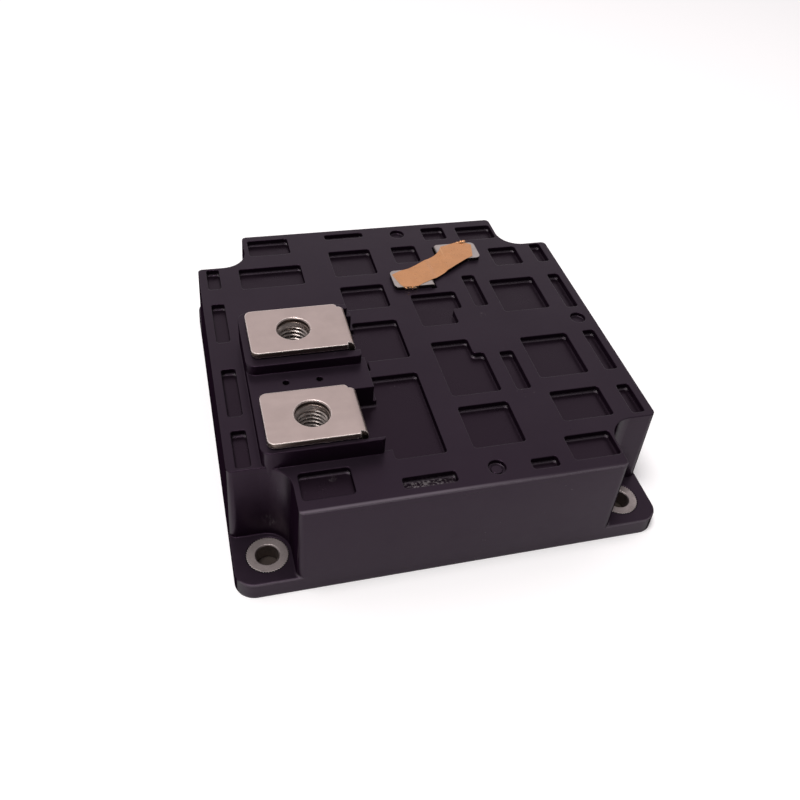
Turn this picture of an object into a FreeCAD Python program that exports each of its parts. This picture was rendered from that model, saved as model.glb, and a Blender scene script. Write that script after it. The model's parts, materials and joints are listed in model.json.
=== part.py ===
import FreeCAD, Part
import math
import os
import re

import Sketcher

# Single-switch power module: a moulded case with four bushed corner holes, two bolted busbars, two
# auxiliary tabs shorted by a copper foil, and the substrates, chips and gel that it holds.
# X runs along the front edge, Y to the rear and Z up. The origin is the centre of the underside.

os.makedirs("parts", exist_ok=True)

doc = FreeCAD.newDocument("switch_module")
sheet = doc.addObject("Spreadsheet::Sheet", "Sizes")

# Driving sizes in millimetres and degrees
DRIVING_SIZES = {
    "housing": {
        "housing_width": 110.0,
        "housing_depth": 110.0,
        "housing_top": 28.0,
        "wall_draft": 2.0,
        "ear_thickness": 4.7,
        "ear_corner_radius": 5.0,
        "notch_width": 14.2,
        "notch_depth": 14.8,
        "notch_radius": 6.0,
        "block_corner_radius": 2.3,
        "wall_thickness": 3.5,
        "roof_thickness": 5.0,
        "cavity_corner_radius": 2.5,
        "mount_edge_x": 8.5,
        "mount_edge_y": 8.5,
        "cut_overrun": 1.0,
    },
    "base plate": {
        "base_thickness": 3.0,
        "base_rim": 2.0,
        "base_clearance": 0.15,
        "base_corner_radius": 3.0,
    },
    "mounting bushings": {
        "bushing_outer_radius": 5.15,
        "bushing_bore_radius": 2.75,
        "bushing_chamfer": 0.28,
        "knurl_depth": 0.3,
        "knurl_count": 48,
        "knurl_crest_cut": 0.03,
        "knurl_overrun": 0.2,
        "bushing_clearance": 0.02,
    },
    "terminal platform": {
        "platform_left": -46.0,
        "platform_right": -16.1,
        "platform_arm_right": -17.2,
        "platform_front": -39.9,
        "platform_rear": 7.6,
        "platform_rise": 4.95,
        "rear_step_front": -13.5,
        "rear_step_right": -17.3,
        "rear_step_rise": 2.8,
        "platform_corner_radius": 2.4,
        "platform_end_radius": 0.9,
        "recess_clearance": 0.8,
        "recess_side_gap": 0.1,
        "recess_floor_radius": 0.8,
        "vent_radius": 0.8,
        "vent_depth": 3.0,
        "vent_spacing": 8.3,
        "vent_y": -17.3,
    },
    "busbars": {
        "busbar_thickness": 1.5,
        "bend_inside_radius": 0.5,
        "terminal_hole_x": -32.9,
        "collector_hole_y": -2.8,
        "emitter_hole_y": -30.6,
        "terminal_left": -44.3,
        "terminal_width": 16.6,
        "terminal_corner_radius": 1.8,
        "terminal_hole_radius": 4.15,
        "terminal_hole_chamfer": 0.3,
        "collector_leg_face": -18.4,
        "emitter_leg_face": -21.0,
        "leg_front_relief": 0.9,
        "leg_rear_relief": 1.2,
        "leg_slot_clearance": 0.4,
        "collector_bus_level": 13.0,
        "emitter_bus_level": 17.5,
        "collector_bus_right": 21.0,
        "emitter_bus_right": 34.0,
        "emitter_bus_lane": 7.0,
        "collector_foot_width": 5.0,
        "emitter_foot_gap": 3.0,
        "foot_edge_gap": 0.3,
        "finger_width": 4.0,
        "finger_place": 16.5,
        "left_finger_shift": 0.5,
        "emitter_finger_place": 29.4,
        "emitter_left_finger": -16.8,
        "foot_length": 3.2,
        "root_overlap": 1.0,
    },
    "terminal nuts": {
        "nut_across_flats": 13.0,
        "nut_height": 6.5,
        "nut_thread_radius": 3.32,
        "nut_stand": 0.45,
        "nut_mouth_chamfer": 0.7,
        "nut_clearance": 0.12,
        "bolt_end_radius": 4.5,
        "bolt_end_depth": 1.7,
    },
    "auxiliary tabs": {
        "tab_thickness": 0.8,
        "tab_lift": 0.35,
        "gate_tab_length": 12.2,
        "sense_tab_length": 12.8,
        "tab_width": 8.1,
        "tab_corner_radius": 1.5,
        "tab_bend_radius": 0.3,
        "tab_hole_radius": 2.15,
        "tab_hole_inset": 7.2,
        "gate_leg_face": 12.7,
        "gate_tab_y": 25.2,
        "sense_leg_face": 17.4,
        "sense_tab_y": 36.5,
        "aux_nut_across_flats": 7.0,
        "aux_nut_height": 3.2,
        "aux_thread_radius": 1.65,
        "aux_nut_clearance": 0.1,
        "aux_well_depth": 6.0,
        "aux_well_radius": 2.3,
        "aux_boss_radius": 6.0,
        "aux_boss_length": 3.0,
        "gate_foot_width": 1.9,
        "gate_foot_shift": 0.0,
        "sense_foot_width": 2.6,
        "sense_foot_shift": 1.2,
        "tab_foot_length": 3.0,
        "tab_leg_reach": 3.0,
    },
    "shorting foil": {
        "foil_thickness": 0.12,
        "foil_edge_gap": 0.1,
        "foil_fold": 0.9,
        "foil_fold_inset": 0.2,
    },
    "core-out pockets": {
        "pocket_depth": 1.8,
        "pocket_radius": 0.9,
        "slot_radius": 0.8,
        "side_slot_place": 50.0,
        "side_slot_width": 3.6,
        "lane_a_left": -38.5,
        "lane_a_right": -26.3,
        "lane_b_left": -15.2,
        "lane_b_right": -2.5,
        "lane_c_left": 4.2,
        "lane_c_right": 17.6,
        "lane_c_step": 14.7,
        "lane_d_left": 21.7,
        "lane_d_right": 25.7,
        "lane_e_left": 29.4,
        "lane_e_right": 43.3,
        "dimple_radius": 2.2,
        "dimple_depth": 1.1,
    },
    "substrates and chips": {
        "substrate_inner_x": 7.0,
        "substrate_inner_y": 3.5,
        "substrate_length": 32.6,
        "substrate_depth": 34.0,
        "backing_thickness": 0.3,
        "ceramic_thickness": 0.6,
        "circuit_thickness": 0.3,
        "copper_margin": 1.0,
        "copper_gap": 1.0,
        "gate_strip_width": 4.6,
        "emitter_strip_depth": 6.0,
        "chip_thickness": 0.3,
        "igbt_size": 10.5,
        "diode_size": 8.0,
        "first_chip_column": 7.0,
        "chip_column_pitch": 12.5,
        "igbt_row": 24.0,
        "diode_row": 13.9,
        "ribbon_width": 2.0,
        "ribbon_thickness": 0.3,
        "ribbon_pitch": 4.0,
        "ribbon_foot": 1.8,
        "ribbon_loop": 1.6,
        "ribbon_rise": 2.0,
        "ribbon_end_inset": 1.2,
        "link_width": 0.5,
        "link_loop": 3.0,
        "link_foot": 1.0,
        "link_inset": 1.2,
        "link_spacing": 3.0,
        "gel_level": 11.0,
        "gel_clearance": 0.6,
    },
}

# Core-out pockets and slots of the top face: left, right, front and rear edge. A word is a shared lane.
POCKETS = {
    "rear_left": ("lane_a_left", "lane_a_right", 43.8, 51.8),
    "mid_left": (-42.6, -24.5, 28.2, 37.7),
    "front_left": ("lane_a_left", "lane_a_right", -50.4, -42.4),
    "bar_rear": ("lane_b_left", "lane_b_right", 30.2, 42.9),
    "bar_mid": ("lane_b_left", "lane_b_right", 14.3, 25.0),
    "bar_terminal": ("lane_b_left", "lane_b_right", -7.6, 8.4),
    "bar_front": ("lane_b_left", "lane_b_right", -42.2, -13.7),
    "gate_side": ("lane_c_left", 11.9, 34.4, 42.8),
    "rear_middle": (16.1, 23.4, 45.2, 51.8),
    "rear_right": (27.3, 39.0, 43.6, 50.9),
    "sense_side": (34.3, "lane_e_right", 29.1, 38.2),
    "front_lane_c": ("lane_c_left", "lane_c_right", -42.1, -28.0),
    "rear_lane_e": ("lane_e_left", "lane_e_right", 7.0, 22.1),
    "mid_lane_e": ("lane_e_left", "lane_e_right", -21.2, -4.7),
    "front_lane_e": ("lane_e_left", "lane_e_right", -37.3, -26.7),
    "front_right": (27.1, 39.3, -50.2, -42.3),
}
SLOTS = {
    "rear_edge": (-14.8, -2.8, 49.5, 52.0),
    "front_edge": (-15.4, -2.4, -51.3, -48.0),
    "front_small": (16.2, 23.1, -51.1, -47.9),
    "rear_lane_d": ("lane_d_left", "lane_d_right", 10.7, 25.4),
    "front_lane_d": ("lane_d_left", "lane_d_right", -24.4, -9.4),
}
SIDE_SLOTS = {
    "left_rear": (-1, 29.2, 38.5),
    "left_mid": (-1, 5.9, 22.3),
    "left_front": (-1, -21.8, -4.7),
    "left_ear": (-1, -38.5, -26.6),
    "right_rear": (1, 29.1, 38.6),
    "right_mid": (1, 6.2, 22.4),
    "right_front": (1, -21.1, -4.6),
    "right_ear": (1, -37.7, -27.2),
}
# Stepped pockets of lane c: front edge, rear edge, step level, and which end is narrow
STEPPED_POCKETS = {
    "rear_stepped": (4.1, 18.5, 10.5, "front"),
    "mid_stepped": (-24.0, -2.9, -8.9, "rear"),
}
DIMPLES = {"rear": (8.1, 49.6), "right": (49.5, 1.2), "front": (7.7, -48.8)}

# Corners of the foil in turn: the tab that each is measured from, then its distances from the face of
# that tab's leg and from the tab's middle line. "front" and "rear" mean the edge that the foil wraps.
FOIL_CORNERS = [
    ("gate", -11.8, 2.1), ("gate", -10.5, -3.0), ("gate", -9.6, "front"), ("gate", -5.3, "front"),
    ("gate", -3.6, -3.2), ("gate", -0.3, -1.7), ("sense", 7.7, -4.6), ("sense", 10.4, -3.2),
    ("sense", 11.8, 2.7), ("sense", 9.8, "rear"), ("sense", 6.8, "rear"), ("sense", 1.9, 2.8),
    ("sense", 0.8, 0.8), ("sense", -1.3, -1.0), ("gate", -3.5, 5.8), ("gate", -6.1, 4.4),
    ("gate", -9.0, 3.6),
]
EDGES = ("left", "right", "front", "rear")
CORNERS = [(-1, -1), (1, -1), (1, 1), (-1, 1)]
POCKETS_PER_CUT = 6

# Levels that several pieces share
CERAMIC_FLOOR = "base_thickness + backing_thickness"
MOUNT_X = "(housing_width / 2 - mount_edge_x)"
MOUNT_Y = "(housing_depth / 2 - mount_edge_y)"
CIRCUIT_FLOOR = CERAMIC_FLOOR + " + ceramic_thickness"
CIRCUIT_TOP = CIRCUIT_FLOOR + " + circuit_thickness"
CHIP_TOP = CIRCUIT_TOP + " + chip_thickness"
PLATFORM_TOP = "housing_top + platform_rise"
REAR_STEP_TOP = PLATFORM_TOP + " + rear_step_rise"
EMITTER_SEAT = PLATFORM_TOP + " + nut_stand"
COLLECTOR_SEAT = REAR_STEP_TOP + " + nut_stand"
BEND = "bend_inside_radius"
OUTER_BEND = BEND + " + busbar_thickness"
TAB_TOP = "housing_top + tab_lift + tab_thickness"


def own_edge(name, side):
    return "%s_%s_edge" % (name, side)


def fill_sheet():
    """Write every driving size to the sheet, one row each, under its alias."""
    rows = []
    for group, group_sizes in DRIVING_SIZES.items():
        for alias, amount in group_sizes.items():
            rows.append((alias, amount, group))
    for family in (POCKETS, SLOTS):
        for name, places in family.items():
            for side, place in zip(EDGES, places):
                if not isinstance(place, str):
                    rows.append((own_edge(name, side), place, "core-out pockets"))
    for name, (_, front, rear) in SIDE_SLOTS.items():
        rows.append((name + "_slot_front", front, "core-out pockets"))
        rows.append((name + "_slot_rear", rear, "core-out pockets"))
    for name, (front, rear, step, _) in STEPPED_POCKETS.items():
        rows.append((own_edge(name, "front"), front, "core-out pockets"))
        rows.append((own_edge(name, "rear"), rear, "core-out pockets"))
        rows.append((own_edge(name, "step"), step, "core-out pockets"))
    for name, (place_x, place_y) in DIMPLES.items():
        rows.append((name + "_dimple_x", place_x, "core-out pockets"))
        rows.append((name + "_dimple_y", place_y, "core-out pockets"))
    for corner, (_, along, across) in enumerate(FOIL_CORNERS, start=1):
        rows.append(("foil_corner_%d_along" % corner, along, "shorting foil"))
        if not isinstance(across, str):
            rows.append(("foil_corner_%d_across" % corner, across, "shorting foil"))
    for row, (alias, amount, group) in enumerate(rows, start=1):
        sheet.set("A%d" % row, alias)
        sheet.set("B%d" % row, str(amount))
        sheet.set("C%d" % row, group)
        sheet.setAlias("B%d" % row, alias)
    doc.recompute()
    return {alias for alias, _, _ in rows}


ALIASES = fill_sheet()


def bind(text):
    """An expression for the document, with the sheet named before each alias."""
    def prefix(match):
        word = match.group(0)
        return "Sizes." + word if word in ALIASES else word
    return re.sub(r"[A-Za-z_][A-Za-z_0-9]*", prefix, str(text))


def size(text):
    """The number that an expression in aliases gives now."""
    return float(sheet.evalExpression(bind(text)))


def new_body(label):
    body = doc.addObject("PartDesign::Body", label)
    body.Label = label
    return body


class Outline:
    """Curves and constraints of one sketch, gathered first and then added in one step."""

    def __init__(self, body, name, role, offset):
        self.body, self.name, self.role, self.offset = body, name, role, offset
        self.curves = []
        self.guides = []
        self.constraints = []
        self.bindings = []

    def add(self, curve, guide=False):
        self.curves.append(curve)
        if guide:
            self.guides.append(len(self.curves) - 1)
        return len(self.curves) - 1

    def hold(self, kind, *where):
        self.constraints.append(Sketcher.Constraint(kind, *where))

    def measure(self, kind, where, text):
        """One measured constraint, bound to an expression in aliases."""
        self.bindings.append((len(self.constraints), text))
        self.constraints.append(Sketcher.Constraint(kind, *where, size(text)))

    def loop(self, sides, radii=None):
        """A closed loop of upright and level sides in turn, the first side upright.

        sides holds the place of each side: x for an upright one, y for a level one. radii holds the
        rounding of the corner that ends each side. None, or a missing list, means a sharp corner.
        """
        count = len(sides)
        radii = radii or [None] * count
        places = [size(side) for side in sides]
        rounding = [size(radius) if radius else 0.0 for radius in radii]
        corners = []
        for i in range(count):
            after = places[(i + 1) % count]
            spot = (places[i], after) if i % 2 == 0 else (after, places[i])
            corners.append(FreeCAD.Vector(spot[0], spot[1], 0))
        steps = [(corners[i] - corners[i - 1]).normalize() for i in range(count)]
        lines = []
        for i in range(count):
            start = corners[i - 1] + steps[i] * rounding[i - 1]
            end = corners[i] - steps[i] * rounding[i]
            lines.append(self.add(Part.LineSegment(start, end)))
            self.hold("Vertical" if i % 2 == 0 else "Horizontal", lines[i])
            self.measure("DistanceX" if i % 2 == 0 else "DistanceY", (-1, 1, lines[i], 1), sides[i])
        for i in range(count):
            follower = (i + 1) % count
            if radii[i]:
                self.corner(corners[i], steps[i], steps[follower], lines[i], lines[follower], radii[i])
            else:
                self.hold("Coincident", lines[i], 2, lines[follower], 1)

    def corner(self, corner, step, next_step, line, next_line, radius_text):
        """A tangent arc at a corner. Its two ends change places where the loop turns right."""
        radius = size(radius_text)
        enter = corner - step * radius
        leave = corner + next_step * radius
        centre = enter + next_step * radius
        turns_left = step.x * next_step.y - step.y * next_step.x > 0
        first, last = (enter, leave) if turns_left else (leave, enter)
        angles = [math.atan2(point.y - centre.y, point.x - centre.x) for point in (first, last)]
        circle = Part.Circle(centre, FreeCAD.Vector(0, 0, 1), radius)
        arc = self.add(Part.ArcOfCircle(circle, angles[0], angles[1]))
        enter_end, leave_end = (1, 2) if turns_left else (2, 1)
        self.hold("Tangent", line, 2, arc, enter_end)
        self.hold("Tangent", arc, leave_end, next_line, 1)
        self.measure("Radius", (arc,), radius_text)

    def box(self, left, right, front, rear, radius=None):
        self.loop([left, rear, right, front], [radius] * 4 if radius else None)

    def circle(self, place_x, place_y, radius):
        centre = FreeCAD.Vector(size(place_x), size(place_y), 0)
        ring = self.add(Part.Circle(centre, FreeCAD.Vector(0, 0, 1), size(radius)))
        self.measure("DistanceX", (-1, 1, ring, 3), place_x)
        self.measure("DistanceY", (-1, 1, ring, 3), place_y)
        self.measure("Radius", (ring,), radius)

    def hexagon(self, place_x, place_y, across_flats):
        """A regular hexagon with two sides level, held by a construction circle of its inner radius."""
        centre = FreeCAD.Vector(size(place_x), size(place_y), 0)
        inner = size(across_flats) / 2
        reach = inner / math.cos(math.radians(30))
        angles = [math.radians(60 * k) for k in range(6)]
        corners = [centre + FreeCAD.Vector(math.cos(angle), math.sin(angle), 0) * reach for angle in angles]
        ring = self.add(Part.Circle(centre, FreeCAD.Vector(0, 0, 1), inner), guide=True)
        sides = [self.add(Part.LineSegment(corners[k], corners[(k + 1) % 6])) for k in range(6)]
        for k in range(6):
            self.hold("Coincident", sides[k], 2, sides[(k + 1) % 6], 1)
            self.hold("Tangent", sides[k], ring)
        for k in range(4):
            self.hold("Equal", sides[k], sides[k + 1])
        self.hold("Horizontal", sides[1])
        self.measure("DistanceX", (-1, 1, ring, 3), place_x)
        self.measure("DistanceY", (-1, 1, ring, 3), place_y)
        self.measure("Radius", (ring,), "(" + across_flats + ") / 2")

    def polygon(self, points):
        """A closed loop of straight sides with both places of every corner bound."""
        corners = [FreeCAD.Vector(size(x), size(y), 0) for x, y in points]
        count = len(points)
        sides = [self.add(Part.LineSegment(corners[k], corners[(k + 1) % count])) for k in range(count)]
        for k in range(count):
            self.hold("Coincident", sides[k], 2, sides[(k + 1) % count], 1)
            self.measure("DistanceX", (-1, 1, sides[k], 1), points[k][0])
            self.measure("DistanceY", (-1, 1, sides[k], 1), points[k][1])

    def place(self):
        """Make the sketch on one of the body's own origin planes, moved along that plane's normal."""
        plane = [item for item in self.body.Origin.OriginFeatures if item.Role == self.role][0]
        sketch = self.body.newObject("Sketcher::SketchObject", self.name)
        sketch.AttachmentSupport = [(plane, "")]
        sketch.MapMode = "FlatFace"
        sketch.setExpression("AttachmentOffset.Base.z", bind(self.offset))
        sketch.addGeometry(self.curves, False)
        for number in self.guides:
            sketch.toggleConstruction(number)
        sketch.addConstraint(self.constraints)
        for number, text in self.bindings:
            sketch.setExpression("Constraints[%d]" % number, bind(text))
        return sketch


def pad(body, outline, length, taper=None, downward=False):
    """Pad along the sketch's normal, or against it. A positive taper draws the walls in as they rise."""
    sketch = outline.place()
    feature = body.newObject("PartDesign::Pad", sketch.Name + "_pad")
    feature.Profile = sketch
    feature.Refine = False
    feature.Reversed = downward
    feature.setExpression("Length", bind(length))
    if taper:
        feature.setExpression("TaperAngle", bind("-(" + taper + ")"))
    doc.recompute()
    return feature


def pocket(body, outline, depth, upward=False):
    """Pocket against the sketch's normal, or along it, and make sure that it removes material."""
    sketch = outline.place()
    before = body.Shape.Volume
    feature = body.newObject("PartDesign::Pocket", sketch.Name + "_pocket")
    feature.Profile = sketch
    feature.Refine = False
    feature.setExpression("Length", bind(depth))
    feature.Reversed = upward
    doc.recompute()
    if not 0 < body.Shape.Volume < before:
        raise RuntimeError("%s: %s before, %s after" % (feature.Name, before, body.Shape.Volume))
    return feature


def make_housing():
    body = new_body("housing")
    half_x = "housing_width / 2"
    half_y = "housing_depth / 2"
    notch_x = "housing_width / 2 - notch_width"
    notch_y = "housing_depth / 2 - notch_depth"

    ears = Outline(body, "ear_outline", "XY_Plane", "0")
    ears.box("-" + half_x, half_x, "-" + half_y, half_y, "ear_corner_radius")
    pad(body, ears, "ear_thickness", "wall_draft")

    block = Outline(body, "block_outline", "XY_Plane", "0")
    add_cross_loop(block, half_x, half_y, notch_x, notch_y, "block_corner_radius", "notch_radius")
    pad(body, block, "housing_top", "wall_draft")

    platform = Outline(body, "platform_outline", "XY_Plane", "housing_top - roof_thickness / 2")
    corner, end = "platform_corner_radius", "platform_end_radius"
    platform.loop(["platform_left", "platform_rear", "platform_right", "emitter_hole_y", "platform_arm_right",
                   "platform_front"], [corner, end, None, None, end, corner])
    pad(body, platform, "platform_rise + roof_thickness / 2")

    step = Outline(body, "rear_step_outline", "XY_Plane", "housing_top + platform_rise / 2")
    step.loop(["platform_left", "platform_rear", "rear_step_right", "rear_step_front"],
              [corner, end, end, corner])
    pad(body, step, "platform_rise / 2 + rear_step_rise")

    wall = "wall_thickness"
    cavity = Outline(body, "cavity_outline", "XY_Plane", "0")
    add_cross_loop(cavity, half_x + " - " + wall, half_y + " - " + wall, notch_x + " - " + wall,
                   notch_y + " - " + wall, "cavity_corner_radius", "notch_radius")
    pocket(body, cavity, "housing_top - roof_thickness", upward=True)

    seat = Outline(body, "base_seat_outline", "XY_Plane", "0")
    add_cross_loop(seat, half_x + " - base_rim", half_y + " - base_rim", notch_x + " - base_rim",
                   notch_y + " - base_rim", "base_corner_radius", "notch_radius")
    pocket(body, seat, "base_thickness", upward=True)

    boss_floor = "housing_top - roof_thickness - aux_boss_length"
    aux_bosses = Outline(body, "aux_boss_outline", "XY_Plane", boss_floor)
    for place_x, place_y in (aux_hole("gate"), aux_hole("sense")):
        aux_bosses.circle(place_x, place_y, "aux_boss_radius")
    aux_pad = pad(body, aux_bosses, "aux_boss_length + roof_thickness / 2")
    aux_pad.Label = "auxiliary nut bosses"

    bores = Outline(body, "bushing_seats", "XY_Plane", "ear_thickness")
    for side_x, side_y in CORNERS:
        bores.circle("%d * %s" % (side_x, MOUNT_X), "%d * %s" % (side_y, MOUNT_Y),
                     "bushing_outer_radius + bushing_clearance")
    pocket(body, bores, "ear_thickness + cut_overrun")

    cut_nut_seats(body)
    cut_leg_slots(body)
    cut_core_outs(body)
    cut_recesses(body)
    return body


def add_cross_loop(outline, half_x, half_y, notch_x, notch_y, outer_radius, inner_radius):
    """A rectangle with its four corners cut away, with rounded outer and inner corners."""
    minus = "-(%s)"
    sides = [minus % half_x, notch_y, minus % notch_x, half_y, notch_x, notch_y,
             half_x, minus % notch_y, notch_x, minus % half_y, minus % notch_x, minus % notch_y]
    radii = [outer_radius, inner_radius, outer_radius] * 4
    outline.loop(sides, radii)


def cut_nut_seats(body):
    """Hexagonal seats of the captive nuts, wells below them for the ends of the bolts, and two vents."""
    for name, top in (("collector", REAR_STEP_TOP), ("emitter", PLATFORM_TOP)):
        nut_seat = Outline(body, name + "_nut_seat", "XY_Plane", top)
        nut_seat.hexagon("terminal_hole_x", name + "_hole_y", "nut_across_flats + 2 * nut_clearance")
        pocket(body, nut_seat, "nut_height - nut_stand")
        well = Outline(body, name + "_bolt_well", "XY_Plane", top)
        well.circle("terminal_hole_x", name + "_hole_y", "bolt_end_radius")
        pocket(body, well, "nut_height - nut_stand + bolt_end_depth")
    aux_seats = Outline(body, "aux_nut_seats", "XY_Plane", "housing_top")
    aux_wells = Outline(body, "aux_bolt_wells", "XY_Plane", "housing_top")
    for name in ("gate", "sense"):
        hole_x, hole_y = aux_hole(name)
        aux_seats.hexagon(hole_x, hole_y, "aux_nut_across_flats + 2 * aux_nut_clearance")
        aux_wells.circle(hole_x, hole_y, "aux_well_radius")
    pocket(body, aux_seats, "aux_nut_height")
    pocket(body, aux_wells, "aux_well_depth")
    vents = Outline(body, "vents", "XY_Plane", PLATFORM_TOP)
    for side in (-1, 1):
        vents.circle("terminal_hole_x + %d * vent_spacing / 2" % side, "vent_y", "vent_radius")
    pocket(body, vents, "vent_depth")


def cut_leg_slots(body):
    """Slots through the roof for the legs of the two busbars and the two tabs."""
    slots = Outline(body, "leg_slots", "XY_Plane", "housing_top")
    for name in ("collector", "emitter"):
        rear, front = leg_ends(name)
        slots.box(name + "_leg_face - busbar_thickness - leg_slot_clearance",
                  name + "_leg_face + leg_slot_clearance",
                  front + " - leg_slot_clearance", rear + " + leg_slot_clearance")
    for name, side in (("gate", 1), ("sense", -1)):
        near = "%s_leg_face - %d * (tab_thickness + leg_slot_clearance)" % (name, side)
        far = "%s_leg_face + %d * leg_slot_clearance" % (name, side)
        left, right = (near, far) if side == 1 else (far, near)
        half = "tab_width / 2 + leg_slot_clearance"
        slots.box(left, right, name + "_tab_y - (" + half + ")", name + "_tab_y + " + half)
    pocket(body, slots, "roof_thickness + cut_overrun")


def leg_ends(name):
    """Rear and front edge of a busbar's leg, which is narrower than its plate."""
    rear = name + "_hole_y + terminal_width / 2 - leg_rear_relief"
    front = name + "_hole_y - terminal_width / 2 + leg_front_relief"
    return rear, front


def cut_recesses(body):
    """Recesses beside the busbar legs, open to the core-out pockets on their right."""
    recesses = Outline(body, "leg_recesses", "XY_Plane", "housing_top - pocket_depth")
    for name in ("collector", "emitter"):
        half = "terminal_width / 2 + recess_side_gap"
        recesses.loop([name + "_leg_face - busbar_thickness - recess_clearance", name + "_hole_y + " + half,
                       "lane_b_left + cut_overrun", name + "_hole_y - (" + half + ")"],
                      ["recess_floor_radius", None, None, "recess_floor_radius"])
    pocket(body, recesses, "pocket_depth + platform_rise + rear_step_rise + cut_overrun", upward=True)


def aux_hole(name):
    """Centre of an auxiliary tab's bolt hole. The gate tab runs left of its leg, the sense tab right."""
    side = "-" if name == "gate" else "+"
    return name + "_leg_face " + side + " tab_hole_inset", name + "_tab_y"


def add_core_out(outline, name, places, radius):
    """Outline of one pocket. A place without a lane's name has its own row in the sheet."""
    edges = [place if isinstance(place, str) else own_edge(name, side) for side, place in zip(EDGES, places)]
    outline.box(*edges, radius)


def cut_core_outs(body):
    """Shallow pockets and slots that keep the roof of the moulding even in thickness."""
    top = "housing_top"
    names = list(POCKETS)
    for first in range(0, len(names), POCKETS_PER_CUT):
        outlines = Outline(body, "pocket_outlines_%d" % (first // POCKETS_PER_CUT + 1), "XY_Plane", top)
        for name in names[first:first + POCKETS_PER_CUT]:
            add_core_out(outlines, name, POCKETS[name], "pocket_radius")
        pocket(body, outlines, "pocket_depth")

    slots = Outline(body, "slot_outlines", "XY_Plane", top)
    for name, places in SLOTS.items():
        add_core_out(slots, name, places, "slot_radius")
    pocket(body, slots, "pocket_depth")

    side_slots = Outline(body, "side_slot_outlines", "XY_Plane", top)
    for name, (side, _, _) in SIDE_SLOTS.items():
        centre = "%d * side_slot_place" % side
        side_slots.box(centre + " - side_slot_width / 2", centre + " + side_slot_width / 2",
                       name + "_slot_front", name + "_slot_rear", "slot_radius")
    pocket(body, side_slots, "pocket_depth")

    stepped = Outline(body, "stepped_outlines", "XY_Plane", top)
    for name, (_, _, _, narrow_end) in STEPPED_POCKETS.items():
        front, rear, level = [own_edge(name, side) for side in ("front", "rear", "step")]
        if narrow_end == "front":
            sides = ["lane_c_left", rear, "lane_c_right", level, "lane_c_step", front]
        else:
            sides = ["lane_c_left", rear, "lane_c_step", level, "lane_c_right", front]
        stepped.loop(sides, ["pocket_radius"] * len(sides))
    pocket(body, stepped, "pocket_depth")

    dimples = Outline(body, "dimple_outlines", "XY_Plane", top)
    for name in DIMPLES:
        dimples.circle(name + "_dimple_x", name + "_dimple_y", "dimple_radius")
    pocket(body, dimples, "dimple_depth")


def make_base_plate():
    body = new_body("base_plate")
    inset = " - base_rim - base_clearance"
    outline = Outline(body, "base_outline", "XY_Plane", "0")
    add_cross_loop(outline, "housing_width / 2" + inset, "housing_depth / 2" + inset,
                   "housing_width / 2 - notch_width" + inset, "housing_depth / 2 - notch_depth" + inset,
                   "base_corner_radius", "notch_radius")
    pad(body, outline, "base_thickness")
    return body


def make_bushing(number, side_x, side_y):
    """A turned collar with a chamfered bore and an axial knurl, flush with both faces of the ear."""
    body = new_body("mounting_bushing_%d" % number)
    profile = Outline(body, "bushing_profile_%d" % number, "XZ_Plane", "0")
    add_bushing_section(profile)
    turned = body.newObject("PartDesign::Revolution", "bushing_turned_%d" % number)
    turned.Profile = profile.place()
    turned.ReferenceAxis = (turned.Profile[0], ["V_Axis"])
    turned.Angle = 360
    doc.recompute()
    groove = Outline(body, "knurl_groove_%d" % number, "XY_Plane", "0")
    add_knurl_groove(groove)
    cut = pocket(body, groove, "ear_thickness", upward=True)
    pattern = body.newObject("PartDesign::PolarPattern", "knurl_%d" % number)
    pattern.Originals = [cut]
    pattern.Axis = (cut.Profile[0], ["N_Axis"])
    pattern.Angle = 360
    pattern.setExpression("Occurrences", bind("knurl_count"))
    body.Tip = pattern
    body.setExpression("Placement.Base.x", bind("%d * %s" % (side_x, MOUNT_X)))
    body.setExpression("Placement.Base.y", bind("%d * %s" % (side_y, MOUNT_Y)))
    doc.recompute()
    return body


def add_bushing_section(outline):
    """Half section of the collar: a rectangle whose two bore corners are chamfered."""
    bore, outer = "bushing_bore_radius", "bushing_outer_radius"
    tall, chamfer = "ear_thickness", "bushing_chamfer"
    points = [(bore, chamfer), (bore + " + " + chamfer, "0"), (outer, "0"), (outer, tall),
              (bore + " + " + chamfer, tall), (bore, tall + " - " + chamfer)]
    outline.polygon(points)


def add_knurl_groove(outline):
    """One V groove as wide as the knurl's pitch, so that neighbours meet in a crest just inside the rim."""
    bottom = "bushing_outer_radius - knurl_depth"
    mouth = "bushing_outer_radius + knurl_overrun"
    half_crest = "(bushing_outer_radius - knurl_crest_cut) * tan(180 / knurl_count)"
    half_width = half_crest + " * (knurl_depth + knurl_overrun) / (knurl_depth - knurl_crest_cut)"
    outline.polygon([(bottom, "0"), (mouth, "-(" + half_width + ")"), (mouth, half_width)])


def add_terminal_plate(body, name, seat):
    """Flat top of a busbar with its bolt hole, up to the line where the leg's bend starts."""
    hole_y = name + "_hole_y"
    plate = Outline(body, name + "_plate_outline", "XY_Plane", seat)
    plate.loop(["terminal_left", hole_y + " + terminal_width / 2", name + "_leg_face - (" + OUTER_BEND + ")",
                hole_y + " - terminal_width / 2"],
               ["terminal_corner_radius", "leg_rear_relief", None, "terminal_corner_radius"])
    pad(body, plate, "busbar_thickness")


def drill_terminal_plate(body, name, seat):
    hole = Outline(body, name + "_bolt_hole", "XY_Plane", seat + " + busbar_thickness")
    hole.circle("terminal_hole_x", name + "_hole_y", "terminal_hole_radius")
    pocket(body, hole, "busbar_thickness + cut_overrun")
    chamfer_round_edge(body, name + "_hole_chamfer", seat + " + busbar_thickness", "terminal_hole_radius",
                       "terminal_hole_chamfer")


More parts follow.
